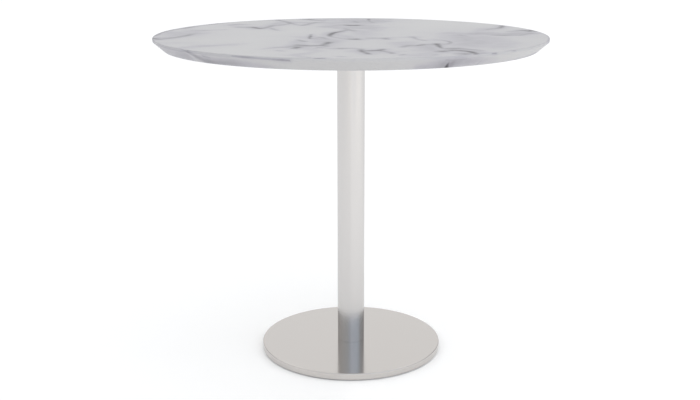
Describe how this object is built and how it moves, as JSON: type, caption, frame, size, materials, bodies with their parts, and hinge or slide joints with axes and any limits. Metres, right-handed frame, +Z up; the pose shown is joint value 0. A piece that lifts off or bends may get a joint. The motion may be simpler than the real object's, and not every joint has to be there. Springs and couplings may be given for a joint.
{
  "type": "bistro table",
  "caption": "Round pedestal table with a marble-effect top, a slim steel column and a flat disc base on levelling glides.",
  "frame": {"origin": "on the floor under the column's axis, at the underside of the glides", "axes": "+Z up along the column; +X and +Y are any two level directions midway between the glides"},
  "size_m": [0.8999, 0.9, 0.765],
  "materials": {
    "marble_laminate": "satin printed white marble with grey veins",
    "fibreboard": "raw pressed fibreboard",
    "backing_sheet": "plain white matt melamine",
    "column_steel": "satin stainless steel, brushed along its length",
    "base_steel": "fine satin stainless steel with a soft mirror",
    "black_casting": "black powder coat on cast iron",
    "grey_casting": "dark grey primer on cast iron",
    "zinc_steel": "bright zinc plate",
    "black_rubber": "matt black foam rubber",
    "grey_nylon": "moulded grey nylon"
  },
  "bodies": {
    "table": {"top_skin": "marble_laminate", "top_core": "fibreboard", "top_backer": "backing_sheet", "threaded_inserts": "zinc_steel", "spider": "black_casting", "spider_washers": "zinc_steel", "spider_screws": "zinc_steel", "column_tube": "column_steel", "column_top_gasket": "black_rubber", "column_base_gasket": "black_rubber", "tie_rod": "zinc_steel", "tie_rod_washer": "zinc_steel", "tie_rod_lock_washer": "zinc_steel", "tie_rod_nut": "zinc_steel", "base_cover": "base_steel", "base_weight": "grey_casting", "base_spigot": "zinc_steel", "spigot_bolts": "zinc_steel", "base_underlay": "black_rubber", "glide_bushes": "zinc_steel"},
    "pad_1": {"glide_pad_1": "grey_nylon"},
    "stud_1": {"glide_stud_1": "zinc_steel"},
    "pad_2": {"glide_pad_2": "grey_nylon"},
    "stud_2": {"glide_stud_2": "zinc_steel"},
    "pad_3": {"glide_pad_3": "grey_nylon"},
    "stud_3": {"glide_stud_3": "zinc_steel"},
    "pad_4": {"glide_pad_4": "grey_nylon"},
    "stud_4": {"glide_stud_4": "zinc_steel"}
  },
  "joints": [
    {"name": "glide_1_travel", "type": "slide", "parent": "table", "child": "pad_1", "axis": [0, 0, -1], "range_m": [-0.00126, 0.00376]},
    {"name": "glide_1_turn", "type": "hinge", "parent": "pad_1", "child": "stud_1", "pos_m": [0.12728, 0.12728, 0.005], "axis": [0, 0, -1], "range_deg": [-360, 1080]},
    {"name": "glide_2_travel", "type": "slide", "parent": "table", "child": "pad_2", "axis": [0, 0, -1], "range_m": [-0.00126, 0.00376]},
    {"name": "glide_2_turn", "type": "hinge", "parent": "pad_2", "child": "stud_2", "pos_m": [-0.12728, 0.12728, 0.005], "axis": [0, 0, -1], "range_deg": [-360, 1080]},
    {"name": "glide_3_travel", "type": "slide", "parent": "table", "child": "pad_3", "axis": [0, 0, -1], "range_m": [-0.00126, 0.00376]},
    {"name": "glide_3_turn", "type": "hinge", "parent": "pad_3", "child": "stud_3", "pos_m": [-0.12728, -0.12728, 0.005], "axis": [0, 0, -1], "range_deg": [-360, 1080]},
    {"name": "glide_4_travel", "type": "slide", "parent": "table", "child": "pad_4", "axis": [0, 0, -1], "range_m": [-0.00126, 0.00376]},
    {"name": "glide_4_turn", "type": "hinge", "parent": "pad_4", "child": "stud_4", "pos_m": [0.12728, -0.12728, 0.005], "axis": [0, 0, -1], "range_deg": [-360, 1080]}
  ],
  "couplings": [
    {"joint": "glide_1_travel", "follows": "glide_1_turn", "m_per_rad": 0.00019894},
    {"joint": "glide_2_travel", "follows": "glide_2_turn", "m_per_rad": 0.00019894},
    {"joint": "glide_3_travel", "follows": "glide_3_turn", "m_per_rad": 0.00019894},
    {"joint": "glide_4_travel", "follows": "glide_4_turn", "m_per_rad": 0.00019894}
  ]
}
